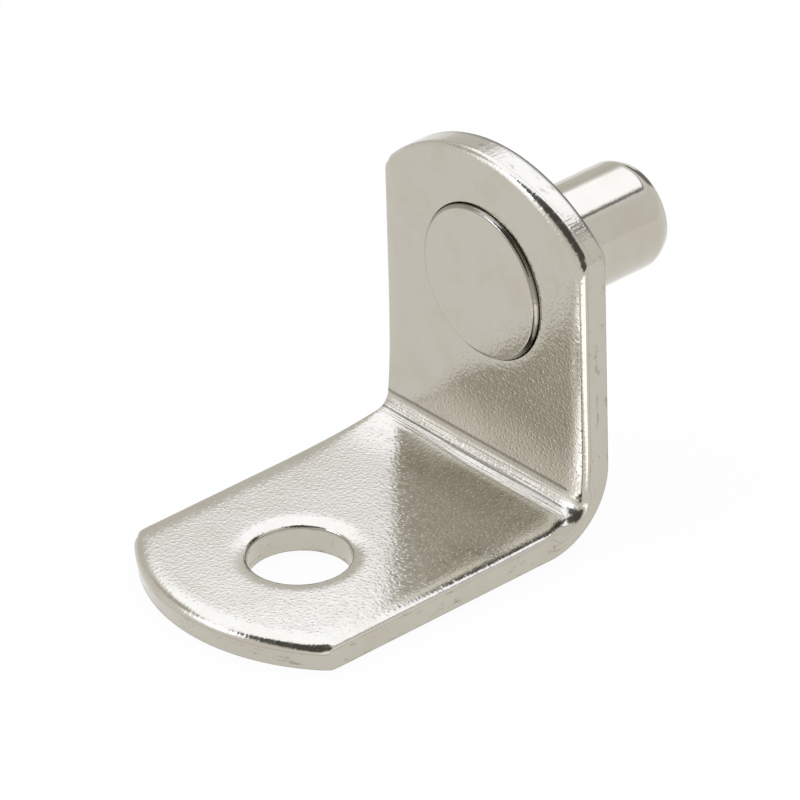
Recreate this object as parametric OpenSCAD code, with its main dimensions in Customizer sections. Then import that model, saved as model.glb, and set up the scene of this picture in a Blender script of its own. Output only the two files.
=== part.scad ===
// Shelf support pin: a strip of nickel-plated steel folded into an L, with a pin riveted through its upright.
// Millimetres. +Y runs along the pin into the cabinet side, +Z is up, and x = 0 is the plane of symmetry.
// The origin is where the pin's axis meets the back face of the upright.

/* [Strip] */
// Width of the steel strip
strip_w = 12.7; // [8:0.1:25]
// Thickness of the steel strip
strip_t = 1.4; // [1:0.1:3]
// Radius inside the bend
bend_r = 0.9; // [0.3:0.1:2]
// How much rounder the outside of the bend is than a bend of even thickness
bend_ease = 0.6; // [0.1:0.1:2]
// Radius of the roll that the punch leaves on the top and front edges
roll_r = 0.3; // [0.1:0.05:0.6]

/* [Leg] */
// Length of the leg, from the back face to the tip of its rounded end
leg_l = 18.6; // [14:0.1:40]
// How far the leg's rounded end stands out past its two corners
leg_rise = 2.5; // [1:0.1:5]
// Diameter of the screw hole
screw_d = 4.6; // [3:0.1:6]
// Distance from the back face to the middle of the screw hole
screw_y = 12.2; // [9:0.1:20]

/* [Upright] */
// Height of the upright, from the leg's underside to the tip of its rounded end
upright_h = 16.6; // [14:0.1:40]
// How far the upright's rounded end stands out past its two corners
upright_rise = 2.8; // [1:0.1:5]

/* [Pin] */
// Diameter of the pin
pin_d = 5; // [3:0.1:7]
// Length of the pin behind the back face
pin_l = 7.5; // [5:0.1:15]
// Width of the shoulder where the pin narrows to pass through the upright
shoulder = 0.5; // [0.2:0.05:1]
// Height of the pin's axis above the leg's underside
pin_z = 10.4; // [8:0.1:25]
// Rounding of the pin's free end
tip_r = 0.4; // [0.1:0.05:1]
// Diameter of the pin's flat head
head_d = 7.2; // [6:0.1:10]
// How far the head stands proud of the upright's front face
head_proud = 0.25; // [0.2:0.05:0.8]
// How deep the head is seated in the upright
head_seat = 0.6; // [0.2:0.05:0.9]
// Rounding of the head's rim
head_r = 0.15; // [0.1:0.05:0.4]
// Gap all round between the head and its seat
head_gap = 0.04; // [0.01:0.01:0.2]
// Gap all round between the neck and its hole
neck_gap = 0.01; // [0.01:0.01:0.1]

/* [Hidden] */
$fn = 96;
nickel = [0.77, 0.74, 0.69];
bend_out = bend_r + strip_t + bend_ease;
// Radius and centre of the arc across an end with a given rise
leg_end_r = end_radius(leg_rise);
leg_end_y = leg_l - leg_end_r;
upright_end_r = end_radius(upright_rise);
upright_end_z = upright_h - upright_end_r;
// Diameter of the pin's neck, the part inside the upright
neck_d = pin_d - 2 * shoulder;
// Where the bend's inner face gives way to the flat leg and upright, from the outer corner
inner_run = strip_t + bend_r;
// How far a cutter reaches past the face that it cuts
over = bend_r / 2;

function end_radius(rise) = (pow(strip_w / 2, 2) + pow(rise, 2)) / (2 * rise);

// The sliver between a square corner at the origin and a rounding of radius r
module corner_sliver(r) {
    difference() {
        translate([-over, -over]) square(r + over);
        translate([r, r]) circle(r);
    }
}

// Side view of the folded strip, y across and z up, with its outer corner at the origin
module fold_profile() {
    difference() {
        union() {
            translate([-leg_l, 0]) square([leg_l, strip_t]);
            translate([-strip_t, 0]) square([strip_t, upright_h]);
            translate([-inner_run, strip_t]) square(bend_r);
        }
        translate([-inner_run, inner_run]) circle(bend_r);
        difference() {
            translate([-bend_out, -over]) square(bend_out + over);
            translate([-bend_out, bend_out]) circle(bend_out);
        }
    }
}

// What is left of a strip beyond the corners of its rounded end, standing along +Y from the arc's centre
module end_waste(radius, tall) {
    difference() {
        translate([-strip_w, 0, 0]) cube([2 * strip_w, 2 * radius, tall]);
        translate([0, 0, -over]) cylinder(r = radius, h = tall + 2 * over);
    }
}

// Roll along the top rim of a rounded end
module end_roll(radius) {
    rotate_extrude(angle = 180) translate([radius, strip_t]) rotate(180) corner_sliver(roll_r);
}

module folded_strip() {
    rotate([90, 0, 90]) linear_extrude(strip_w, center = true) fold_profile();
}

// The rolled edge along one side of the leg, round the bend and up the upright
module side_roll() {
    translate([strip_w / 2, -inner_run, strip_t])
        rotate([90, 0, 0]) linear_extrude(leg_l) rotate(180) corner_sliver(roll_r);
    translate([strip_w / 2, -strip_t, inner_run])
        linear_extrude(upright_h) rotate(90) corner_sliver(roll_r);
    translate([strip_w / 2, -inner_run, inner_run])
        rotate([0, 90, 0]) rotate_extrude(angle = 90)
            translate([bend_r, 0]) rotate(-90) corner_sliver(roll_r);
}

module bracket() {
    color(nickel)
    translate([0, 0, -pin_z])
    difference() {
        folded_strip();
        translate([0, -leg_end_y, -over]) rotate(180) end_waste(leg_end_r, strip_t + 2 * over);
        translate([0, over, upright_end_z]) rotate([90, 0, 0])
            end_waste(upright_end_r, strip_t + 2 * over);
        translate([0, -leg_end_y, 0]) rotate(180) end_roll(leg_end_r);
        translate([0, 0, upright_end_z]) rotate([90, 0, 0]) end_roll(upright_end_r);
        side_roll();
        mirror([1, 0, 0]) side_roll();
        translate([0, -screw_y, -over]) cylinder(d = screw_d, h = strip_t + 2 * over);
        translate([0, -screw_y, strip_t]) rotate_extrude()
            translate([screw_d / 2, 0]) rotate(-90) corner_sliver(roll_r);
        translate([0, over, pin_z]) rotate([90, 0, 0])
            cylinder(r = neck_d / 2 + neck_gap, h = strip_t + 2 * over);
        translate([0, -strip_t + head_seat, pin_z]) rotate([90, 0, 0])
            cylinder(r = head_d / 2 + head_gap, h = head_seat + over);
    }
}

// Half outline of the pin, distance from its axis across and +Y up
module pin_profile() {
    seat_y = -strip_t + head_seat;
    head_y = -strip_t - head_proud;
    difference() {
        union() {
            square([pin_d / 2, pin_l]);
            translate([0, seat_y]) square([neck_d / 2, -seat_y]);
            translate([0, head_y]) square([head_d / 2, seat_y - head_y]);
        }
        translate([pin_d / 2, pin_l]) rotate(180) corner_sliver(tip_r);
        translate([head_d / 2, head_y]) rotate(90) corner_sliver(head_r);
    }
}

module pin() {
    color(nickel) rotate([-90, 0, 0]) rotate_extrude() pin_profile();
}

bracket();
pin();
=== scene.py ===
"""Looks of the shelf support pin.

A strip of bright nickel-plated steel, punched, pierced and folded once into an L, holds a
round pin that is riveted through its upright. The classes hold their sizes in millimetres,
and each piece is brought to metres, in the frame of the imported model, as its last step.
"""

import logging
import math
from dataclasses import astuple, dataclass
from enum import Enum
from typing import Iterable, Optional

import bmesh
import bpy
from bmesh.types import BMEdge, BMesh, BMFace, BMVert
from mathutils import Matrix, Vector


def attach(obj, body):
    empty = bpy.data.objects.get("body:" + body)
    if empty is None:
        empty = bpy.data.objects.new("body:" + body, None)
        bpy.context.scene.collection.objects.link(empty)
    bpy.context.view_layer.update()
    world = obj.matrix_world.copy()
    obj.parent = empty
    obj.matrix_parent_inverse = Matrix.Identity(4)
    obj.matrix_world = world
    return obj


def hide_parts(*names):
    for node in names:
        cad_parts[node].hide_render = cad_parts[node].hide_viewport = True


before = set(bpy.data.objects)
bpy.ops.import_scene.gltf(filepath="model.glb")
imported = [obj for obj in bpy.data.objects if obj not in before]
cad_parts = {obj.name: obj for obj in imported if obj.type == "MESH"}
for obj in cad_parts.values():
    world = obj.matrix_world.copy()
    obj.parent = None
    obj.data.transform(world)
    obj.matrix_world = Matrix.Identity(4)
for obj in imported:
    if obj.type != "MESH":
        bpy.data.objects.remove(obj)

METRES = 0.001
MICRONS = 1e-6
NEAR = 1e-4
AXIS_Y = (0.0, 1.0, 0.0)
AXIS_Z = (0.0, 0.0, 1.0)
LOG = logging.getLogger("shelf_support_pin")

Inputs = Optional[dict[object, object]]
Material = bpy.types.Material
Socket = bpy.types.NodeSocket
Triple = tuple[float, float, float]


class Zone(Enum):
    """The two kinds of surface on the punched strip, by material slot."""

    FACE = 0
    EDGE = 1


class Patch(Enum):
    """What a face of the flat blank belongs to, while the blank is being cut."""

    RING = 0
    MIDDLE = 1
    COLLAR = 2


class Run(Enum):
    """Stretches of the blank's outline."""

    LEG_END = 0
    RIGHT = 1
    UPRIGHT_END = 2
    LEFT = 3


class Coordinates(Enum):
    """Where a finish takes the place of its pattern from."""

    BLANK = "blank"
    OBJECT = "object"


def smooth(value: float) -> float:
    """Eased step from 0 to 1."""
    t = min(max(value, 0.0), 1.0)
    return t * t * (3.0 - 2.0 * t)


def spread(start: float, stop: float, step: float) -> list[float]:
    """Evenly spaced places from start to stop, both included and no further apart than step."""
    count = max(1, math.ceil(abs(stop - start) / step))
    return [start + (stop - start) * i / count for i in range(count + 1)]


def chain(bm: BMesh, points: Iterable[Triple]) -> tuple[list[BMVert], list[BMEdge]]:
    """Draws one open line through a few points.

    Args:
        bm: Mesh to draw in.
        points: Points of the line, in order.

    Returns:
        The line's vertices and edges.
    """
    verts = [bm.verts.new(p) for p in points]
    edges = [bm.edges.new(pair) for pair in zip(verts, verts[1:])]
    return verts, edges


def turn_round(bm: BMesh, geom: list, centre: Triple, axis: Triple, steps: int) -> None:
    """Turns a line into a round wall by one full spin about an axis through a centre."""
    bmesh.ops.spin(
        bm, geom=geom, cent=centre, axis=axis, angle=math.tau, steps=steps, use_merge=True
    )


def open_edges(bm: BMesh, height: float) -> list[BMEdge]:
    """Edges with a face on one side only that lie at one height."""
    rim = (e for e in bm.edges if len(e.link_faces) == 1)
    return [e for e in rim if all(abs(v.co.z - height) < NEAR for v in e.verts)]


def stand(bm: BMesh, name: str, materials: Iterable[Material]) -> bpy.types.Object:
    """Turns a bmesh into an object of the scene.

    Args:
        bm: The mesh in metres; it is freed here.
        name: Name of the new object.
        materials: Materials in slot order.

    Returns:
        The new object, at the origin.
    """
    mesh = bpy.data.meshes.new(name)
    bm.to_mesh(mesh)
    bm.free()
    for material in materials:
        mesh.materials.append(material)
    made = bpy.data.objects.new(name, mesh)
    bpy.context.scene.collection.objects.link(made)
    return made


def finish_piece(
    bm: BMesh, name: str, node: str, materials: Iterable[Material]
) -> bpy.types.Object:
    """Turns a finished bmesh into a piece that stands for a CAD node.

    Args:
        bm: The piece in millimetres; it is freed here.
        name: Name of the new object.
        node: CAD node that the piece stands for, which is hidden.
        materials: Materials in slot order.

    Returns:
        The new object, at the origin and riding on the only body.
    """
    bmesh.ops.remove_doubles(bm, verts=bm.verts[:], dist=NEAR)
    bmesh.ops.recalc_face_normals(bm, faces=bm.faces[:])
    bmesh.ops.scale(bm, vec=(METRES, METRES, METRES), verts=bm.verts[:])
    piece = stand(bm, name, materials)
    piece.data.shade_smooth()
    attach(piece, "root")
    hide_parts(node)
    return piece


@dataclass(frozen=True)
class Band:
    """Range of a number, from low to high, and what it becomes at the two ends."""

    low: float
    high: float
    to_low: float = 0.0
    to_high: float = 1.0


class NodeBench:
    """Small helper that adds and joins the nodes of one material or world."""

    MIX_SHARE, MIX_FIRST, MIX_SECOND, MIX_RESULT = 0, 6, 7, 2
    NOISE = ("Vector", "Scale", "Detail", "Roughness")
    RAMP = ("Value", "From Min", "From Max", "To Min", "To Max")

    def __init__(self, tree: bpy.types.NodeTree) -> None:
        """Starts with an empty tree."""
        self.tree = tree
        tree.nodes.clear()

    def add(self, kind: str, inputs: Inputs = None, **settings: object) -> bpy.types.Node:
        """Adds one node and feeds its inputs.

        Args:
            kind: Blender's name of the node type.
            inputs: A socket or a constant for each input, by the input's name or number.
            **settings: Properties of the node.

        Returns:
            The new node.
        """
        node = self.tree.nodes.new(kind)
        for key, value in settings.items():
            setattr(node, key, value)
        for key, value in (inputs or {}).items():
            if isinstance(value, Socket):
                self.tree.links.new(value, node.inputs[key])
            else:
                node.inputs[key].default_value = value
        return node

    def show(self, surface: Socket, kind: str = "ShaderNodeOutputMaterial") -> None:
        """Joins the finished surface to the tree's output."""
        self.add(kind, {"Surface": surface})

    def axes(self, place: Socket) -> tuple[Socket, ...]:
        """Splits a place into x, y and z."""
        return tuple(self.add("ShaderNodeSeparateXYZ", {"Vector": place}).outputs)

    def ramp(self, source: Socket, band: Band) -> Socket:
        """Carries a number smoothly from a band's range to the results at its ends."""
        values = dict(zip(self.RAMP, (source, *astuple(band))))
        return self.add("ShaderNodeMapRange", values, interpolation_type="SMOOTHSTEP").outputs[0]

    def maths(self, operation: str, first: Socket, second: object) -> Socket:
        """One step of arithmetic with a number and a second one, a socket or a constant."""
        return self.add("ShaderNodeMath", {0: first, 1: second}, operation=operation).outputs[0]

    def stretched(self, place: Socket, scale: Triple) -> Socket:
        """Stretches a pattern's place along the three axes."""
        node = self.add("ShaderNodeVectorMath", {0: place, 1: scale}, operation="MULTIPLY")
        return node.outputs[0]

    def noise(self, place: Socket, grain: Triple) -> Socket:
        """Noise of about 0 to 1, by its grains to a millimetre, finer octaves and their weight."""
        values = dict(zip(self.NOISE, (place, *grain)))
        return self.add("ShaderNodeTexNoise", values, noise_dimensions="3D").outputs["Fac"]

    def bump(self, height: Socket, microns: float, under: Optional[Socket]) -> Socket:
        """Tilts the surface by a height pattern.

        Args:
            height: Height pattern, 0 to 1.
            microns: Height of the pattern's full range.
            under: Normal from a coarser pattern below this one.

        Returns:
            The output with the tilted normal.
        """
        values = {"Height": height, "Strength": 1.0, "Distance": microns * MICRONS}
        if under is not None:
            values["Normal"] = under
        return self.add("ShaderNodeBump", values).outputs["Normal"]

    def blend(self, share: Socket, first: object, second: Triple) -> Socket:
        """Mixes two colours.

        Args:
            share: Share of the second colour, from 0 to 1.
            first: First colour, a socket or a constant.
            second: Second colour.

        Returns:
            The output with the mixed colour.
        """
        base = first if isinstance(first, Socket) else (*first, 1.0)
        values = {self.MIX_SHARE: share, self.MIX_FIRST: base, self.MIX_SECOND: (*second, 1.0)}
        return self.add("ShaderNodeMix", values, data_type="RGBA").outputs[self.MIX_RESULT]

    def either(self, share: Socket, first: Socket, second: Socket) -> Socket:
        """Mixes two shaders, by the share of the second."""
        return self.add("ShaderNodeMixShader", {0: share, 1: first, 2: second}).outputs[0]


def new_material(name: str) -> tuple[Material, NodeBench]:
    """Starts an empty material.

    Args:
        name: Name of the material.

    Returns:
        The material and the bench of its tree.
    """
    made = bpy.data.materials.new(name)
    made.use_nodes = True
    return made, NodeBench(made.node_tree)


# Patterns in the plate: noise runs from 0 to 1, and places are in millimetres.
CLOUDS = (0.55, 3.0, 0.55)
YELLOWED = Band(0.42, 0.78)
MOTTLE = (2.4, 3.0, 0.6)
MOTTLED = (0.32, 0.72)
PIMPLE = Band(0.0, 0.3, 1.0, 0.0)
PIMPLE_TOP = (0.08, 0.24)
STREAKS = (1.0, 2.0, 0.6)
WAVES = (1.0, 0.4)
PEEL = (0.4, 0.5)

# Cut edges: painted dark reflection as a line along each rim and on the torn part of the upright's
# end, and rub marks as wear.
BACK_RIM_REFLECTION = Band(1.26, 1.37, 0.0, 0.6)
FRONT_RIM_REFLECTION = Band(0.02, 0.12, 0.4, 0.0)
RIM_REFLECTION_DARK = (0.3, 0.28, 0.24)
# The near-black colour on the torn part of the upright's end is painted dark reflection.
TORN_REFLECTION_DEPTH = Band(1.05, 1.32, 0.0, 0.95)
TORN_REFLECTION_ALONG = Band(12.8, 14.2)
TORN_REFLECTION_ACROSS = Band(-6.0, 4.0, 0.4, 1.0)
TORN_REFLECTION_DARK = (0.1, 0.094, 0.082)
RUBS = (1.0, 4.0, 0.7)
RUB_STRETCH = (1.3, 1.3, 2.6)
RUBBED = (0.57, 0.69)
RUB_DARK = (0.25, 0.215, 0.165)

# Marks of the folding tool, on the punched face only, which fade out at the right: grooves in the
# bump, with painted shade in them.
FOLD_STRETCH = (0.1, 4.6, 0.0)
MARK_BACK = Band(0.3, 0.6)
MARK_END = Band(5.0, 5.8, 0.0, 0.12)
GROOVE = Band(0.0, 0.09)
GROOVE_MICRONS = 16.0
GROOVE_SHADE_BAND = Band(0.03, 0.12, 0.75, 0.0)
GROOVE_SHADE = (0.22, 0.2, 0.17)

# Painted shade of the gap between the pin's head and its seat, as a dark ring on the head's rim.
FROM_AXIS = (1.0, 0.0, 1.0)
HEAD_GAP_SHADE_SOFT = 0.05
HEAD_GAP_SHADE_SHARE = 0.7
HEAD_GAP_SHADE = (0.2, 0.18, 0.15)


@dataclass(frozen=True)
class NickelFinish:
    """Bright nickel plate on steel, with the grain that shows through the plate.

    Attributes:
        name: Name of the material.
        place: Where the pattern is read.
        tone: Reflectance of the plate.
        tint: Reflectance where the plate has yellowed a little.
        gloss: Roughness on the clearest spots.
        haze: Roughness on the dullest spots.
        grain: Grains of orange peel to a millimetre.
        grain_height: Height of the orange peel in microns.
        pimples: Pimples in the plate to a millimetre.
        pimple_height: Height of the pimples in microns.
        speck: Roughness on top of the pimples.
        wave: Long waves of the sheet to a millimetre.
        wave_height: Height of the long waves in microns.
        scuff: How dark the rub marks are, from 0 to 1; above 0 it also adds the painted dark
            reflection of a cut edge.
        streak: How the streaks left by the tool are stretched along each axis, or None.
        streak_height: Height of the streaks in microns.
        fold_lines: Height in microns of the lines the folding tool leaves inside the bend; above 0
            it also turns on the grooves and the painted shade in them.
        tool_marks: Places along the blank of the grooves that the folding tool leaves.
        rim: Distance from the pin's axis where the painted shade of the gap round the head starts,
            or 0 for none.
    """

    name: str
    place: Coordinates = Coordinates.BLANK
    tone: Triple = (0.531, 0.499, 0.431)
    tint: Triple = (0.507, 0.470, 0.396)
    gloss: float = 0.13
    haze: float = 0.22
    grain: float = 6.6
    grain_height: float = 5.6
    pimples: float = 3.4
    pimple_height: float = 3.7
    speck: float = 0.28
    wave: float = 0.42
    wave_height: float = 9.0
    scuff: float = 0.0
    streak: Optional[Triple] = None
    streak_height: float = 0.0
    fold_lines: float = 0.0
    tool_marks: tuple[float, ...] = (1.52, 0.5)
    rim: float = 0.0

    def spot(self, bench: NodeBench) -> Socket:
        """Place of the pattern, in millimetres.

        Args:
            bench: Bench of the material's tree.

        Returns:
            The output with the place.
        """
        if self.place is Coordinates.BLANK:
            return bench.add("ShaderNodeAttribute", attribute_name="blank").outputs["Vector"]
        metres = bench.add("ShaderNodeTexCoord").outputs["Object"]
        return bench.stretched(metres, (1.0 / METRES, 1.0 / METRES, 1.0 / METRES))

    def material(self) -> Material:
        """Builds the material.

        Returns:
            The new material.
        """
        made, bench = new_material(self.name)
        place = self.spot(bench)
        dull, normal = self.relief(bench, place)
        plate = {"Metallic": 1.0, "Roughness": dull, "Normal": normal}
        plate["Base Color"] = self.coloured(bench, place)
        bench.show(bench.add("ShaderNodeBsdfPrincipled", plate).outputs["BSDF"])
        return made

    def coloured(self, bench: NodeBench, place: Socket) -> Socket:
        """Colours the plate, with its yellowing and its wear, and with painted shade and painted
        dark reflection.

        Args:
            bench: Bench of the material's tree.
            place: Place of the pattern.

        Returns:
            The output with the colour.
        """
        cloud = bench.noise(place, CLOUDS)
        shown = bench.blend(bench.ramp(cloud, YELLOWED), self.tone, self.tint)
        # Cut edges: rub marks, and painted dark reflection along the rims and on the torn part.
        if self.scuff > 0.0:
            shown = self.wear_and_painted_reflection(bench, place, shown)
        # Painted shade in the fold grooves.
        if self.fold_lines > 0.0:
            for away in self.from_marks(bench, place):
                shown = bench.blend(bench.ramp(away, GROOVE_SHADE_BAND), shown, GROOVE_SHADE)
        # Painted shade of the gap between the head and its seat, as a dark ring on the head's rim.
        if self.rim > 0.0:
            aside = {0: bench.stretched(place, FROM_AXIS)}
            out = bench.add("ShaderNodeVectorMath", aside, operation="LENGTH").outputs["Value"]
            rim = Band(self.rim, self.rim + HEAD_GAP_SHADE_SOFT, 0.0, HEAD_GAP_SHADE_SHARE)
            shown = bench.blend(bench.ramp(out, rim), shown, HEAD_GAP_SHADE)
        return shown

    def relief(self, bench: NodeBench, place: Socket) -> tuple[Socket, Socket]:
        """Roughens and tilts the plate.

        Args:
            bench: Bench of the material's tree.
            place: Place of the pattern.

        Returns:
            The outputs with the roughness and with the normal.
        """
        mottle = bench.noise(place, MOTTLE)
        dull = bench.ramp(mottle, Band(*MOTTLED, self.gloss, self.haze))
        waves = bench.noise(place, (self.wave, *WAVES))
        normal = bench.bump(waves, self.wave_height, None)
        peel = bench.noise(place, (self.grain, *PEEL))
        normal = bench.bump(peel, self.grain_height, normal)
        if self.pimple_height > 0.0:
            cells = bench.add(
                "ShaderNodeTexVoronoi",
                {"Vector": place, "Scale": self.pimples},
                voronoi_dimensions="2D",
                feature="F1",
            )
            away = cells.outputs["Distance"]
            normal = bench.bump(bench.ramp(away, PIMPLE), self.pimple_height, normal)
            tops = bench.ramp(away, Band(*PIMPLE_TOP, self.speck, 0.0))
            dull = bench.maths("MAXIMUM", dull, tops)
        if self.streak is not None:
            streaks = bench.noise(bench.stretched(place, self.streak), STREAKS)
            normal = bench.bump(streaks, self.streak_height, normal)
        if self.fold_lines > 0.0:
            inside = bench.add("ShaderNodeAttribute", attribute_name="bend").outputs["Fac"]
            lines = bench.noise(bench.stretched(place, FOLD_STRETCH), STREAKS)
            normal = bench.bump(bench.maths("MULTIPLY", lines, inside), self.fold_lines, normal)
            for away in self.from_marks(bench, place):
                normal = bench.bump(bench.ramp(away, GROOVE), GROOVE_MICRONS, normal)
        return dull, normal

    def wear_and_painted_reflection(self, bench: NodeBench, place: Socket, shown: Socket) -> Socket:
        """Darkens a cut edge: painted dark reflection along its back and front edges and on the
        lower part of the upright's end, and rub marks.

        Args:
            bench: Bench of the material's tree.
            place: Place of the pattern.
            shown: Colour of the clean edge.

        Returns:
            The output with the colour.
        """
        across, along, deep = bench.axes(place)
        # Painted dark reflection: a dark line along the back rim and one along the front rim of
        # the cut edge.
        rim_reflection = bench.maths("MAXIMUM", bench.ramp(deep, BACK_RIM_REFLECTION), bench.ramp(deep, FRONT_RIM_REFLECTION))
        shown = bench.blend(rim_reflection, shown, RIM_REFLECTION_DARK)
        # Painted dark reflection on the lower, torn part of the upright's end.
        torn_reflection = bench.maths("MULTIPLY", bench.ramp(deep, TORN_REFLECTION_DEPTH), bench.ramp(along, TORN_REFLECTION_ALONG))
        torn_reflection = bench.maths("MULTIPLY", torn_reflection, bench.ramp(across, TORN_REFLECTION_ACROSS))
        shown = bench.blend(torn_reflection, shown, TORN_REFLECTION_DARK)
        marks = bench.noise(bench.stretched(place, RUB_STRETCH), RUBS)
        return bench.blend(bench.ramp(marks, Band(*RUBBED, 0.0, self.scuff)), shown, RUB_DARK)

    def from_marks(self, bench: NodeBench, place: Socket) -> list[Socket]:
        """Distance along the punched face from each of the folding tool's grooves.

        Args:
            bench: Bench of the material's tree.
            place: Place of the pattern.

        Returns:
            One output for each groove.
        """
        across, along, deep = bench.axes(place)
        behind = bench.maths("ADD", bench.ramp(deep, MARK_BACK), bench.ramp(across, MARK_END))
        shifts = [bench.maths("SUBTRACT", along, mark) for mark in self.tool_marks]
        return [bench.maths("ADD", bench.maths("ABSOLUTE", s, 0.0), behind) for s in shifts]


@dataclass(frozen=True)
class EdgeRoll:
    """How a punched face falls away towards a cut edge.

    Attributes:
        depth: Depth of the tight roll at the edge.
        run: How far in from the edge the tight roll starts.
        sag: Depth of the long shallow sag at the edge.
        reach: How far in from the edge the sag starts.
    """

    depth: float
    run: float
    sag: float = 0.0
    reach: float = 1.0

    def fall(self, distance: float, swell: float = 1.0) -> float:
        """Depth below the flat face at a place.

        Args:
            distance: Distance of the place from the edge.
            swell: Factor on the sag's depth and reach.

        Returns:
            The depth in millimetres.
        """
        away = max(distance, 0.0)
        near = max(0.0, 1.0 - away / self.run)
        tight = self.depth * (1.0 - math.sqrt(1.0 - near * near))
        return tight + swell * self.sag * max(0.0, 1.0 - away / (self.reach * swell)) ** 2


@dataclass
class FoldedStrip:
    """The punched strip with its leg, fold and upright.

    It is made flat: x runs across the strip, u along it from the leg's tip to the upright's
    top with u = 0 where the fold starts, and depth down from the punched face. It is folded
    at the end.
    """

    width: float = 12.7
    thickness: float = 1.4
    bend_inner: float = 0.9
    bend_outer: float = 3.5
    ease_run: float = 3.5
    leg_length: float = 18.6
    leg_rise: float = 2.5
    upright_height: float = 16.6
    upright_rise: float = 2.8
    pin_height: float = 10.4
    hole_radius: float = 2.3
    hole_from_back: float = 12.2
    hole_collar: float = 1.3
    hole_steps: int = 88
    seat_radius: float = 3.64
    seat_depth: float = 0.6
    seat_collar: float = 0.8
    seat_lip: float = 0.05
    seat_hold: float = 0.03
    neck_radius: float = 2.01
    burr: float = 0.04
    back_ring: float = 0.16
    corner_round: float = 0.12
    corner_reach: float = 0.55
    corner_slide: tuple[float, float] = (0.8, 0.6)
    corner_hold: float = 0.6
    taper: float = 0.13
    taper_reach: float = 1.0
    left_roll: EdgeRoll = EdgeRoll(0.08, 0.1, 0.13, 1.0)
    right_leg_roll: EdgeRoll = EdgeRoll(0.18, 0.6, 0.08, 1.1)
    right_upright_roll: EdgeRoll = EdgeRoll(0.23, 0.25, 0.09, 0.8)
    left_swell: float = 0.4
    right_swell: float = 1.3
    swell_reach: float = 5.5
    knuckle: EdgeRoll = EdgeRoll(0.78, 1.05)
    knuckle_u: float = 0.35
    knuckle_reach: float = 1.35
    leg_roll: EdgeRoll = EdgeRoll(0.26, 0.36, 0.19, 0.8)
    upright_roll: EdgeRoll = EdgeRoll(0.3, 0.5, 0.03, 0.6)
    corner_swell: float = 0.9
    corner_from: float = 1.5
    corner_run: float = 4.5
    rolls_meet: float = 4.0
    hole_roll: EdgeRoll = EdgeRoll(0.09, 0.1, 0.15, 0.75)
    seat_roll: EdgeRoll = EdgeRoll(0.03, 0.05, 0.02, 0.6)
    leg_fill: EdgeRoll = EdgeRoll(0.0, 1.0, 0.14, 2.4)
    leg_fill_run: float = 4.0
    upright_fill: EdgeRoll = EdgeRoll(0.0, 1.0, 0.14, 2.4)
    crown: float = 0.1
    left_crown: float = 0.048
    crown_run: float = 4.0
    lines_down: float = 1.6
    lines_up: float = 1.3
    lines_clear: float = 0.4
    arc_steps: int = 96
    shift_run: float = 3.0
    close_reach: float = 1.0
    open_from: float = 1.4
    fold_step: float = 0.09
    near_step: float = 0.12
    corner_step: float = 0.1
    open_step: float = 0.5
    end_step: float = 0.4
    sag_half: float = 4.5
    sag_step: float = 0.45
    rings: tuple[float, ...] = (
        0.012, 0.03, 0.06, 0.1, 0.15, 0.21, 0.28, 0.36, 0.46, 0.6, 0.8, 1.05, 1.3, 1.58,
    )
    wall: tuple[float, ...] = (0.04, 0.12, 0.35, 0.65, 0.9)

    def __post_init__(self) -> None:
        """Works out the places that follow from the sizes, and starts an empty mesh."""
        self.bm = bmesh.new()
        self.half = self.width / 2.0
        self.inner_run = self.thickness + self.bend_inner
        self.bend_length = self.bend_inner * math.pi / 2.0
        self.leg_radius = self.end_radius(self.leg_rise)
        self.leg_tip = self.inner_run - self.leg_length
        self.leg_centre = self.leg_tip + self.leg_radius
        self.upright_radius = self.end_radius(self.upright_rise)
        self.upright_top = self.bend_length + self.upright_height - self.inner_run
        self.upright_centre = self.upright_top - self.upright_radius
        self.low = self.leg_tip + self.leg_rise
        self.high = self.upright_top - self.upright_rise
        self.hole_u = self.inner_run - self.hole_from_back
        self.seat_u = self.bend_length + self.pin_height - self.inner_run

    def end_radius(self, rise: float) -> float:
        """Radius of the arc across an end that stands out by a given rise."""
        return (self.width**2 / 4.0 + rise**2) / (2.0 * rise)

    def past_fold(self, u: float) -> float:
        """Distance along the strip from the fold, or 0 inside it."""
        return max(-u, u - self.bend_length, 0.0)

    def turned(self, u: float) -> float:
        """Share of the fold that lies before a place: 0 on the leg and 1 on the upright."""
        return min(max(u / self.bend_length, 0.0), 1.0)

    def corner_pull(self, x: float, u: float, depth: float) -> tuple[float, float]:
        """Rounds the corners and leans the leg's end wall, by drawing a place inwards.

        Args:
            x: Place across the strip.
            u: Place along the strip.
            depth: Depth below the punched face.

        Returns:
            The new x and u.
        """
        share = depth / self.thickness
        corner = math.hypot(self.half - abs(x), min(abs(u - self.low), abs(u - self.high)))
        near = max(0.0, 1.0 - corner / self.corner_reach)
        pull = self.corner_round * near * near * (1.0 - self.corner_hold * share)
        way = -1.0 if u > self.bend_length else 1.0
        inside = self.leg_radius - math.hypot(x, u - self.leg_centre)
        tuck = 0.0
        if u < self.leg_centre and inside < self.taper_reach:
            tuck = self.taper * smooth(share) * (1.0 - max(inside, 0.0) / self.taper_reach)
        slide_x, slide_u = self.corner_slide
        return x - math.copysign(slide_x * pull, x), u + way * slide_u * pull + tuck

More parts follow.
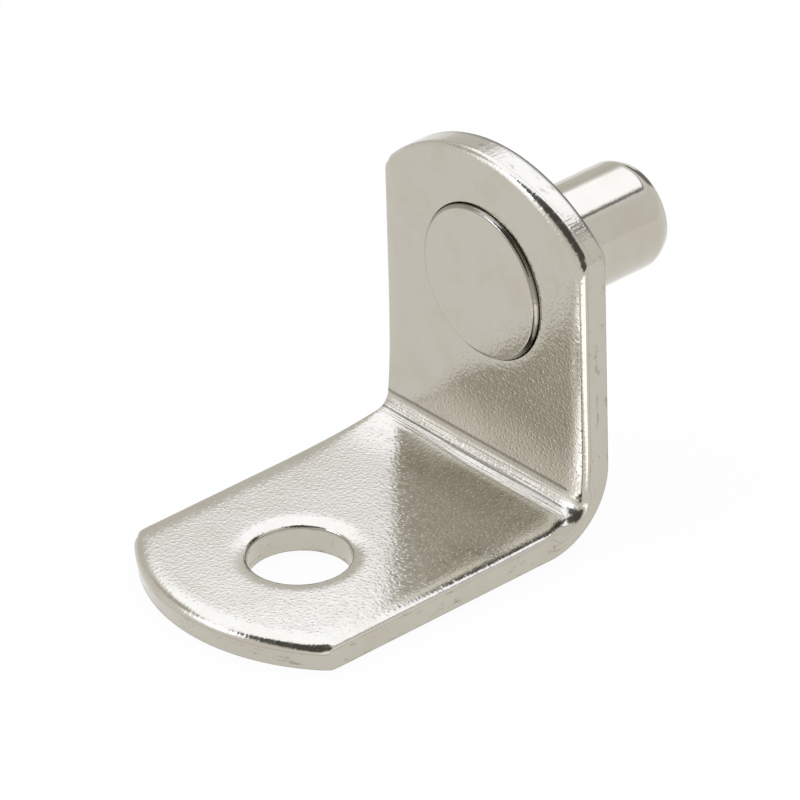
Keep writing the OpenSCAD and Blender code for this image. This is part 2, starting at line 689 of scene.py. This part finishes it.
    def side_fall(self, x: float, u: float) -> float:
        """Depth of the roll along the strip's sides.

        Args:
            x: Place across the strip.
            u: Place along the strip.

        Returns:
            The depth in millimetres.
        """
        in_bend = smooth(1.0 - self.past_fold(u) / self.swell_reach)
        away = self.half - abs(x)
        if x < 0.0:
            return self.left_roll.fall(away, 1.0 + (self.left_swell - 1.0) * in_bend)
        share = self.turned(u)
        swell = 1.0 + (self.right_swell - 1.0) * in_bend
        side = (1.0 - share) * self.right_leg_roll.fall(away, swell)
        side += share * self.right_upright_roll.fall(away, swell)
        turn = smooth(1.0 - abs(u - self.knuckle_u) / self.knuckle_reach)
        return side + turn * (self.knuckle.fall(away) - side)

    def end_fall(self, x: float, u: float) -> float:
        """Depth of the roll along the arcs across the strip's ends.

        Args:
            x: Place across the strip.
            u: Place along the strip.

        Returns:
            The depth in millimetres.
        """
        if u < self.leg_centre:
            return self.leg_roll.fall(self.leg_radius - math.hypot(x, u - self.leg_centre))
        if u > self.upright_centre:
            grown = 1.0 + self.corner_swell * smooth((x - self.corner_from) / self.corner_run)
            inside = self.upright_radius - math.hypot(x, u - self.upright_centre)
            return grown * self.upright_roll.fall(inside / grown)
        return 0.0

    def fall(self, x: float, u: float) -> float:
        """Depth of the punched face below the flat, at a place on the blank.

        Args:
            x: Place across the strip.
            u: Place along the strip.

        Returns:
            The depth in millimetres.
        """
        past, share, meet = self.past_fold(u), self.turned(u), self.rolls_meet
        total = (self.side_fall(x, u) ** meet + self.end_fall(x, u) ** meet) ** (1.0 / meet)
        crown = self.crown if x > 0.0 else self.left_crown
        total += crown * (x / self.half) ** 2 * smooth(-u / self.crown_run)
        total += self.hole_roll.fall(math.hypot(x, u - self.hole_u) - self.hole_radius)
        total += self.seat_roll.fall(math.hypot(x, u - self.seat_u) - self.seat_radius)
        total -= (1.0 - share) * smooth(-x / self.leg_fill_run) * self.leg_fill.fall(past)
        return total - share * self.upright_fill.fall(past)

    def fold(self, x: float, u: float, depth: float) -> Vector:
        """Carries a place on the flat blank to its place on the folded strip.

        Args:
            x: Place across the strip.
            u: Place along the strip.
            depth: Depth below the punched face.

        Returns:
            The folded place in the row frame, in millimetres.
        """
        share = depth / self.thickness
        ease = self.bend_outer - self.inner_run
        if u < 0.0:
            lean = smooth(1.0 + u / self.ease_run)
            y = u - self.inner_run - ease * share * lean
            z = self.thickness - depth
        elif u > self.bend_length:
            rise = u - self.bend_length
            lean = smooth(1.0 - rise / self.ease_run)
            y = depth - self.thickness
            z = self.inner_run + rise + ease * share * lean
        else:
            angle = u / self.bend_inner
            way = Vector((math.sin(angle), -math.cos(angle)))
            inner = way * self.bend_inner + Vector((-self.inner_run, self.inner_run))
            outer = way * self.bend_outer + Vector((-self.bend_outer, self.bend_outer))
            y, z = inner.lerp(outer, share)
        return Vector((x, y, z - self.pin_height))

    def fold_mark(self, x: float, u: float, depth: float) -> float:
        """How clearly the lines of the folding tool show at a place.

        Args:
            x: Place across the strip.
            u: Place along the strip.
            depth: Depth below the punched face.

        Returns:
            A share from 0 to 1.
        """
        middle = self.bend_length / 2.0
        reach = self.lines_up if u > middle else self.lines_down
        lined = smooth(reach - abs(u - middle) / middle)
        return lined * (1.0 - smooth(depth)) * smooth(self.half - x - self.lines_clear)

    def rim_place(self, run: Run, spot: float, inset: float) -> tuple[float, float]:
        """Place on a line that keeps the same distance from the outline everywhere.

        Args:
            run: Stretch of the outline.
            spot: Place on that stretch: share of the half arc on an end, u on a side.
            inset: Distance inwards from the outline.

        Returns:
            The place's x and u.
        """
        half = self.half - inset
        leg, top = self.leg_radius - inset, self.upright_radius - inset
        if run is Run.LEG_END:
            angle = spot * math.asin(half / leg)
            return leg * math.sin(angle), self.leg_centre - leg * math.cos(angle)
        if run is Run.UPRIGHT_END:
            angle = spot * math.asin(half / top)
            return top * math.sin(angle), self.upright_centre + top * math.cos(angle)
        low_shift = self.leg_centre - math.sqrt(leg**2 - half**2) - self.low
        high_shift = self.upright_centre + math.sqrt(top**2 - half**2) - self.high
        u = spot + low_shift * max(0.0, 1.0 - (spot - self.low) / self.shift_run)
        u += high_shift * max(0.0, 1.0 - (self.high - spot) / self.shift_run)
        return (half if run is Run.RIGHT else -half), u

    def side_places(self) -> list[float]:
        """Lists the places along the sides where the blank is cut across.

        Returns:
            The places, close together in the fold and at the corners.
        """
        low, high, bend = self.low, self.high, self.bend_length
        reach, begin, near = self.close_reach, self.open_from, self.near_step
        places = spread(-reach, -near, near) + spread(0.0, bend, self.fold_step)
        places += spread(bend + near, bend + reach, near)
        places += spread(low + self.corner_step, low + reach, self.corner_step)
        places += spread(high - reach, high - self.corner_step, self.corner_step)
        places += spread(low + begin, -begin, self.open_step)
        return places + spread(bend + begin, high - begin, self.open_step)

    def draw_end(self, start: BMVert, centre: float, turn: float) -> BMVert:
        """Draws the arc across one end, over twice the turn, and gives its last vertex."""
        made = bmesh.ops.spin(
            self.bm,
            geom=[start],
            cent=(0.0, centre, 0.0),
            axis=AXIS_Z,
            angle=2.0 * turn,
            steps=self.arc_steps,
        )
        return next(g for g in made["geom_last"] if isinstance(g, BMVert))

    def cut_sides(self, place: float) -> None:
        """Cuts the two straight sides of the outline at one place along the strip.

        Args:
            place: Place of the cut along the strip.
        """
        crossed = []
        for edge in self.bm.edges:
            one, two = (v.co for v in edge.verts)
            if min(one.y, two.y) < place < max(one.y, two.y) and abs(one.x - two.x) < NEAR:
                crossed.append(edge)
        geom = crossed + [v for e in crossed for v in e.verts]
        bmesh.ops.bisect_plane(
            self.bm, geom=geom, dist=NEAR, plane_co=(0.0, place, 0.0), plane_no=AXIS_Y
        )

    def draw_rim(self) -> list[BMEdge]:
        """Draws the blank's outline as one closed line.

        Returns:
            The outline's edges; each vertex knows its place on the outline.
        """
        leg_turn = math.asin(self.half / self.leg_radius)
        top_turn = math.asin(self.half / self.upright_radius)
        first = self.bm.verts.new((-self.half, self.low, 0.0))
        right_low = self.draw_end(first, self.leg_centre, leg_turn)
        right_high = self.bm.verts.new((self.half, self.high, 0.0))
        self.bm.edges.new((right_low, right_high))
        left_high = self.draw_end(right_high, self.upright_centre, top_turn)
        self.bm.edges.new((left_high, first))
        for place in self.side_places():
            self.cut_sides(place)
        run = self.bm.verts.layers.int.new("run")
        spot = self.bm.verts.layers.float.new("spot")
        for vert in self.bm.verts:
            x, u = vert.co.x, vert.co.y
            if u < self.low + NEAR:
                vert[run] = Run.LEG_END.value
                vert[spot] = math.atan2(x, self.leg_centre - u) / leg_turn
            elif u > self.high - NEAR:
                vert[run] = Run.UPRIGHT_END.value
                vert[spot] = math.atan2(x, u - self.upright_centre) / top_turn
            else:
                vert[run] = (Run.RIGHT if x > 0.0 else Run.LEFT).value
                vert[spot] = u
        return self.bm.edges[:]

    def grow(self, edges: list[BMEdge], inset: float, depth: float, zone: Zone) -> list[BMEdge]:
        """Adds one more ring of faces from a line that follows the outline.

        Args:
            edges: Edges of the line.
            inset: Distance of the new line inwards from the outline.
            depth: Depth of the new line below the punched face.
            zone: Kind of surface of the new faces.

        Returns:
            The new line's edges.
        """
        run, spot = self.bm.verts.layers.int["run"], self.bm.verts.layers.float["spot"]
        made = bmesh.ops.extrude_edge_only(self.bm, edges=edges)["geom"]
        for vert in (g for g in made if isinstance(g, BMVert)):
            vert.co = (*self.rim_place(Run(vert[run]), vert[spot], inset), -depth)
        for face in (g for g in made if isinstance(g, BMFace)):
            face.material_index = zone.value
        return [g for g in made if isinstance(g, BMEdge)]

    def edge_walls(self, rim: list[BMEdge]) -> None:
        """Adds the rings of the punched face, the cut edge and the rim of the back face.

        Args:
            rim: Edges of the blank's outline.
        """
        line = rim
        for ring in self.rings:
            line = self.grow(line, ring, 0.0, Zone.FACE)
        line = rim
        for share in self.wall:
            line = self.grow(line, 0.0, share * self.thickness, Zone.EDGE)
        line = self.grow(line, 0.0, self.thickness - self.burr, Zone.EDGE)
        line = self.grow(line, self.burr, self.thickness, Zone.EDGE)
        self.grow(line, self.back_ring, self.thickness, Zone.FACE)

    def pierce(
        self, u: float, radius: float, collar: float, wall: list[tuple[float, float]]
    ) -> None:
        """Adds a round hole with the collar of the punched face round it.

        Args:
            u: Place of the hole along the strip.
            radius: Radius of the hole at the punched face.
            collar: Width of the collar.
            wall: Radius and depth of the hole's wall below the punched face, downwards.
        """
        layer = self.bm.faces.layers.int["patch"]
        before = set(self.bm.faces)
        points = [(radius + ring, u, 0.0) for ring in reversed(self.rings) if ring < collar + NEAR]
        points += [(radius, u, 0.0)] + [(r, u, -depth) for r, depth in wall]
        verts, edges = chain(self.bm, points)
        turn_round(self.bm, verts + edges, (0.0, u, 0.0), AXIS_Z, self.hole_steps)
        for face in set(self.bm.faces) - before:
            face[layer] = Patch.COLLAR.value
            depths = [-v.co.z / self.thickness for v in face.verts]
            if max(depths) > 0.0 and max(depths) - min(depths) > NEAR:
                face.material_index = Zone.EDGE.value

    def pierce_both(self) -> None:
        """Pierces the screw hole in the leg and the stepped seat of the pin in the upright."""
        back, floor, ledge = self.thickness, self.thickness - self.burr, self.seat_depth
        hole, seat, neck = self.hole_radius, self.seat_radius, self.neck_radius
        hold = self.seat_hold
        wall = [(hole, share * self.thickness) for share in self.wall]
        wall += [(hole, floor), (hole + self.burr, back), (hole + self.back_ring, back)]
        self.pierce(self.hole_u, hole, self.hole_collar, wall)
        wall = [(seat, self.seat_lip), (seat, ledge - hold), (seat, ledge), (seat - hold, ledge)]
        wall += [(neck + hold, ledge), (neck, ledge), (neck, floor)]
        wall += [(neck + self.burr, back), (neck + self.back_ring, back)]
        self.pierce(self.seat_u, seat, self.seat_collar, wall)

    def fill(self) -> None:
        """Closes the punched face and the back face between their rings."""
        layer = self.bm.faces.layers.int["patch"]
        for height, way in ((0.0, 1.0), (-self.thickness, -1.0)):
            made = bmesh.ops.triangle_fill(
                self.bm,
                edges=open_edges(self.bm, height),
                use_beauty=True,
                use_dissolve=False,
                normal=(0.0, 0.0, way),
            )
            for face in (g for g in made["geom"] if isinstance(g, BMFace)):
                face[layer] = Patch.MIDDLE.value

    def cut(self, place: float, across: bool, punched: bool) -> None:
        """Cuts the middle of the blank along one straight line.

        Args:
            place: Place of the line.
            across: Whether the line runs across the strip, at one u, or along it, at one x.
            punched: Whether only the punched face is cut, and not the back face.
        """
        layer = self.bm.faces.layers.int["patch"]
        faces = [f for f in self.bm.faces if f[layer] == Patch.MIDDLE.value]
        if punched:
            faces = [f for f in faces if f.calc_center_median().z > -NEAR]
        edges = dict.fromkeys(e for f in faces for e in f.edges)
        verts = dict.fromkeys(v for f in faces for v in f.verts)
        spot = (0.0, place, 0.0) if across else (place, 0.0, 0.0)
        way = AXIS_Y if across else (1.0, 0.0, 0.0)
        bmesh.ops.bisect_plane(
            self.bm, geom=[*verts, *edges, *faces], dist=NEAR, plane_co=spot, plane_no=way
        )

    def slice_up(self) -> None:
        """Cuts the middle of the blank where it will be folded and where its face sags."""
        for place in self.side_places():
            self.cut(place, across=True, punched=False)
        for place in spread(-self.sag_half, self.sag_half, self.sag_step):
            self.cut(place, across=False, punched=True)
        ends = spread(self.leg_tip + self.open_from, self.low, self.end_step)
        ends += spread(self.high, self.upright_top - self.open_from, self.end_step)
        for place in ends:
            self.cut(place, across=True, punched=True)

    def mesh(self) -> BMesh:
        """Punches, pierces and folds the strip.

        Returns:
            The folded strip in millimetres.
        """
        self.bm.faces.layers.int.new("patch")
        self.edge_walls(self.draw_rim())
        self.pierce_both()
        bmesh.ops.remove_doubles(self.bm, verts=self.bm.verts[:], dist=NEAR)
        self.fill()
        self.slice_up()
        blank = self.bm.verts.layers.float_vector.new("blank")
        bend = self.bm.verts.layers.float.new("bend")
        for vert in self.bm.verts:
            x, u, depth = vert.co.x, vert.co.y, -vert.co.z
            vert[blank] = Vector((x, u, depth))
            vert[bend] = self.fold_mark(x, u, depth)
            sunk = depth + self.fall(x, u) * (1.0 - depth / self.thickness)
            vert.co = self.fold(*self.corner_pull(x, u, depth), sunk)
        return self.bm

    def build(self, face: NickelFinish, edge: NickelFinish) -> bpy.types.Object:
        """Makes the strip's piece, with one finish on its faces and one on its cut edges."""
        finishes = [face.material(), edge.material()]
        return finish_piece(self.mesh(), "folded_strip", "bracket", finishes)


@dataclass
class RivetedPin:
    """The round pin, with its flat head in the upright's seat and its free end behind."""

    radius: float = 2.5
    length: float = 7.5
    neck_radius: float = 2.0
    shoulder_round: float = 0.05
    tip_length: float = 0.6
    tip_inset: float = 0.32
    tip_ease: float = 0.22
    tip_round: float = 0.14
    head_radius: float = 3.6
    head_front: float = -1.65
    head_back: float = -0.8
    head_round: float = 0.2
    head_back_round: float = 0.04
    head_dome: float = 0.035
    dome_steps: int = 5
    hold: float = 0.06
    hold_from: float = 0.24
    steps: int = 96

    def mesh(self) -> BMesh:
        """Turns the pin from its half outline.

        Returns:
            The pin in millimetres.
        """
        bm = bmesh.new()
        shares = [i / self.dome_steps for i in range(self.dome_steps)]
        dome = [(s * self.head_radius, self.head_front + s * s * self.head_dome) for s in shares]
        outline = dome + [
            (self.head_radius, self.head_front + self.head_dome),
            (self.head_radius, self.head_back),
            (self.neck_radius, self.head_back),
            (self.neck_radius, 0.0),
            (self.radius, 0.0),
            (self.radius, self.length - self.tip_length),
            (self.radius - self.tip_inset, self.length),
            (0.0, self.length),
        ]
        verts, _ = chain(bm, [(r, y, 0.0) for r, y in outline])
        rim, back, _, _, shoulder, taper, tip, _ = verts[len(dome) :]
        rounds = [(rim, self.head_round, 8), (taper, self.tip_ease, 6), (tip, self.tip_round, 6)]
        rounds += [(shoulder, self.shoulder_round, 3), (back, self.head_back_round, 2)]
        for vert, size, count in rounds:
            bmesh.ops.bevel(
                bm,
                geom=[vert],
                offset=size,
                offset_type="OFFSET",
                affect="VERTICES",
                segments=count,
                profile=0.5,
                material=-1,
            )
        for edge in [e for e in bm.edges if e.calc_length() > self.hold_from]:
            share = self.hold / edge.calc_length()
            part, _ = bmesh.utils.edge_split(edge, edge.verts[0], share)
            bmesh.utils.edge_split(part, part.verts[0], 0.5)
        turn_round(bm, bm.verts[:] + bm.edges[:], (0.0, 0.0, 0.0), AXIS_Y, self.steps)
        return bm

    def build(self, shank: NickelFinish, head: NickelFinish) -> bpy.types.Object:
        """Makes the pin's piece and dresses it.

        Args:
            shank: Finish of the turned pin.
            head: Finish of the head, which the riveting tool presses flat.

        Returns:
            The new piece.
        """
        bm = self.mesh()
        for face in bm.faces:
            face.material_index = int(face.calc_center_median().y < self.head_back)
        return finish_piece(bm, "riveted_pin", "pin", [shank.material(), head.material()])


@dataclass(frozen=True)
class LightCard:
    """A round patch of the light tent that is brighter or darker than the rest.

    Attributes:
        toward: Direction of its middle, seen from the object.
        half_angle: Its half angle in degrees.
        soft: Width of its soft rim in degrees.
        level: How bright it is, in red, green and blue.
    """

    toward: Triple
    half_angle: float
    soft: float
    level: Triple

    def share(self, bench: NodeBench, place: Socket) -> Socket:
        """How much of the card lies in a direction.

        Args:
            bench: Bench of the world's tree.
            place: Direction seen from the object.

        Returns:
            The output with the share, from 0 to 1.
        """
        aim = {0: place, 1: Vector(self.toward).normalized()}
        dot = bench.add("ShaderNodeVectorMath", aim, operation="DOT_PRODUCT").outputs["Value"]
        wide = math.cos(math.radians(self.half_angle + self.soft / 2.0))
        tight = math.cos(math.radians(self.half_angle - self.soft / 2.0))
        return bench.ramp(dot, Band(wide, tight))


@dataclass
class Studio:
    """The light tent, the pale floor and the camera."""

    floor_z: float = -10.42
    floor_half: float = 900.0
    paper: Triple = (0.92, 0.92, 0.92)
    paper_white: float = 0.95
    around: Triple = (0.93, 0.93, 0.93)
    front: Triple = (0.595, 0.585, 0.525)
    front_from: Band = Band(-0.3, 0.05, 1.0, 0.0)
    room: Triple = (0.95, 0.95, 0.95)
    room_under: Band = Band(0.26, 0.52, 1.0, 0.0)
    cards: tuple[LightCard, ...] = (
        LightCard((-0.42, -0.82, 0.38), 18.5, 8.0, (1.75, 1.81, 1.98)),
        LightCard((-0.36, -0.79, 0.50), 8.5, 6.0, (4.7, 5.3, 6.8)),
        LightCard((-0.42, -0.56, 0.71), 7.5, 6.0, (2.0, 2.1, 2.3)),
        LightCard((-0.25, 0.25, 0.93), 45.0, 14.0, (1.08, 1.11, 1.18)),
        LightCard((-0.90, 0.40, 0.12), 27.0, 10.0, (0.79, 0.79, 0.77)),
        LightCard((-0.178, 0.299, 0.9375), 37.5, 3.0, (0.28, 0.28, 0.26)),
        LightCard((-0.25, 0.25, 0.93), 37.0, 6.0, (1.82, 1.92, 2.16)),
        LightCard((-0.36, -0.30, 0.885), 18.0, 4.0, (1.82, 1.92, 2.16)),
        LightCard((0.25, -0.12, 0.96), 16.0, 6.0, (0.12, 0.12, 0.11)),
        LightCard((0.10, -0.62, 0.78), 22.0, 8.0, (0.1, 0.1, 0.09)),
        LightCard((0.55, -0.58, 0.60), 26.0, 8.0, (0.1, 0.1, 0.09)),
        LightCard((-0.42, 0.90, 0.10), 14.0, 6.0, (0.25, 0.25, 0.23)),
    )
    bounce: tuple[float, float, float, float] = (11.5, 34.0, -24.0, -2.0)
    bounce_lift: float = 0.02
    bounce_level: float = 2.2
    azimuth: float = 49.174
    elevation: float = 31.358
    roll: float = -1.679
    centre: Triple = (0.0, -6.35, -2.78)
    shift: tuple[float, float] = (-0.0953, 0.9157)
    distance: float = 385.2
    lens: float = 405.0
    sensor: float = 36.0
    sight: tuple[float, float] = (10.0, 10000.0)

    def tent(self) -> None:
        """Builds the world: soft light all round, with bright and dark cards in it."""
        world = bpy.data.worlds.new("light_tent")
        world.use_nodes = True
        bpy.context.scene.world = world
        bench = NodeBench(world.node_tree)
        place = bench.add("ShaderNodeTexCoord").outputs["Generated"]
        _, along, up = bench.axes(place)
        ahead = bench.ramp(along, self.front_from)
        level = bench.blend(ahead, self.around, self.front)
        low = bench.maths("MULTIPLY", bench.ramp(up, self.room_under), ahead)
        level = bench.blend(low, level, self.room)
        for card in self.cards:
            level = bench.blend(card.share(bench, place), level, card.level)
        light = bench.add("ShaderNodeBackground", {"Color": level})
        plain = bench.add("ShaderNodeBackground", {"Color": (1.0, 1.0, 1.0, 1.0)})
        seen = bench.add("ShaderNodeLightPath").outputs["Is Camera Ray"]
        shown = bench.either(seen, light.outputs[0], plain.outputs[0])
        bench.show(shown, "ShaderNodeOutputWorld")

    def floor(self) -> None:
        """Lays the pale floor, which shows white and keeps a faint shadow."""
        bm = bmesh.new()
        bmesh.ops.create_grid(bm, x_segments=1, y_segments=1, size=self.floor_half * METRES)
        bmesh.ops.translate(bm, verts=bm.verts[:], vec=(0.0, 0.0, self.floor_z * METRES))
        paper, bench = new_material("white_paper")
        matt = bench.add("ShaderNodeBsdfDiffuse", {"Color": (*self.paper, 1.0)})
        white = bench.add("ShaderNodeEmission")
        path = bench.add("ShaderNodeLightPath").outputs
        seen = bench.maths("MAXIMUM", path["Is Camera Ray"], path["Is Glossy Ray"])
        seen = bench.maths("MAXIMUM", seen, path["Is Transmission Ray"])
        share = bench.maths("MULTIPLY", seen, self.paper_white)
        bench.show(bench.either(share, matt.outputs[0], white.outputs[0]))
        floor = stand(bm, "floor", [paper])

    def bounce_card(self) -> None:
        """Lays a white bounce card beside the leg, which only the metal sees."""
        left, right, front, rear = (side * METRES for side in self.bounce)
        height = (self.floor_z + self.bounce_lift) * METRES
        bm = bmesh.new()
        bmesh.ops.create_grid(bm, x_segments=1, y_segments=1, size=0.5)
        bmesh.ops.scale(bm, vec=(right - left, rear - front, 1.0), verts=bm.verts[:])
        spot = ((left + right) / 2.0, (front + rear) / 2.0, height)
        bmesh.ops.translate(bm, verts=bm.verts[:], vec=spot)
        glow, bench = new_material("bounce_white")
        white = bench.add("ShaderNodeEmission", {"Strength": self.bounce_level})
        bench.show(white.outputs[0])
        card = stand(bm, "bounce_card", [glow])
        card.visible_camera = False
        card.visible_diffuse = False
        card.visible_shadow = False

    def camera(self) -> None:
        """Sets the camera at the photograph's viewing angle."""
        a, e, r = (math.radians(v) for v in (self.azimuth, self.elevation, self.roll))
        flat = Vector((math.cos(a), math.sin(a), 0.0))
        back = Vector((math.sin(a) * math.cos(e), -math.cos(a) * math.cos(e), math.sin(e)))
        rise = back.cross(flat)
        right = flat * math.cos(r) + rise * math.sin(r)
        up = rise * math.cos(r) - flat * math.sin(r)
        eye = Vector(self.centre) - right * self.shift[0] - up * self.shift[1]
        eye += back * self.distance
        data = bpy.data.cameras.new("camera")
        data.lens = self.lens
        data.sensor_fit = "HORIZONTAL"
        data.sensor_width = self.sensor
        data.clip_start, data.clip_end = (reach * METRES for reach in self.sight)
        camera = bpy.data.objects.new("camera", data)
        turn = Matrix((right, up, back)).transposed().to_4x4()
        camera.matrix_world = Matrix.Translation(eye * METRES) @ turn
        bpy.context.scene.collection.objects.link(camera)
        bpy.context.scene.camera = camera

    def build(self) -> None:
        """Sets up the whole studio."""
        self.camera()
        self.tent()
        self.floor()
        self.bounce_card()
        bpy.context.scene.view_settings.view_transform = "Standard"


def main() -> None:
    """Builds the studio and the two pieces."""
    logging.basicConfig(level=logging.INFO, format="%(name)s: %(message)s")
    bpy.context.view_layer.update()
    Studio().build()
    # The punched faces, with the fold's grooves and painted shade in them.
    sheet = NickelFinish("nickel_sheet", fold_lines=85.0)
    # Cut edges, with rub marks and painted dark reflection along their rims and on the torn part.
    cut_edge = NickelFinish(
        "nickel_cut_edge",
        gloss=0.12,
        haze=0.2,
        grain_height=6.0,
        pimple_height=0.0,
        scuff=0.6,
        streak=(5.0, 5.0, 0.4),
        streak_height=14.0,
    )
    shank = NickelFinish(
        "nickel_pin",
        place=Coordinates.OBJECT,
        gloss=0.05,
        haze=0.1,
        grain_height=1.5,
        pimple_height=0.0,
        wave_height=3.0,
        streak=(0.4, 7.0, 0.4),
        streak_height=0.8,
    )
    head = NickelFinish(
        "nickel_head",
        place=Coordinates.OBJECT,
        gloss=0.12,
        haze=0.2,
        grain_height=6.0,
        pimple_height=0.0,
        wave_height=5.0,
        # Where the painted shade of the gap round the head starts.
        rim=3.42,
    )
    for piece in (FoldedStrip().build(sheet, cut_edge), RivetedPin().build(shank, head)):
        LOG.info("%s: %d faces", piece.name, len(piece.data.polygons))


if __name__ == "__main__":
    main()
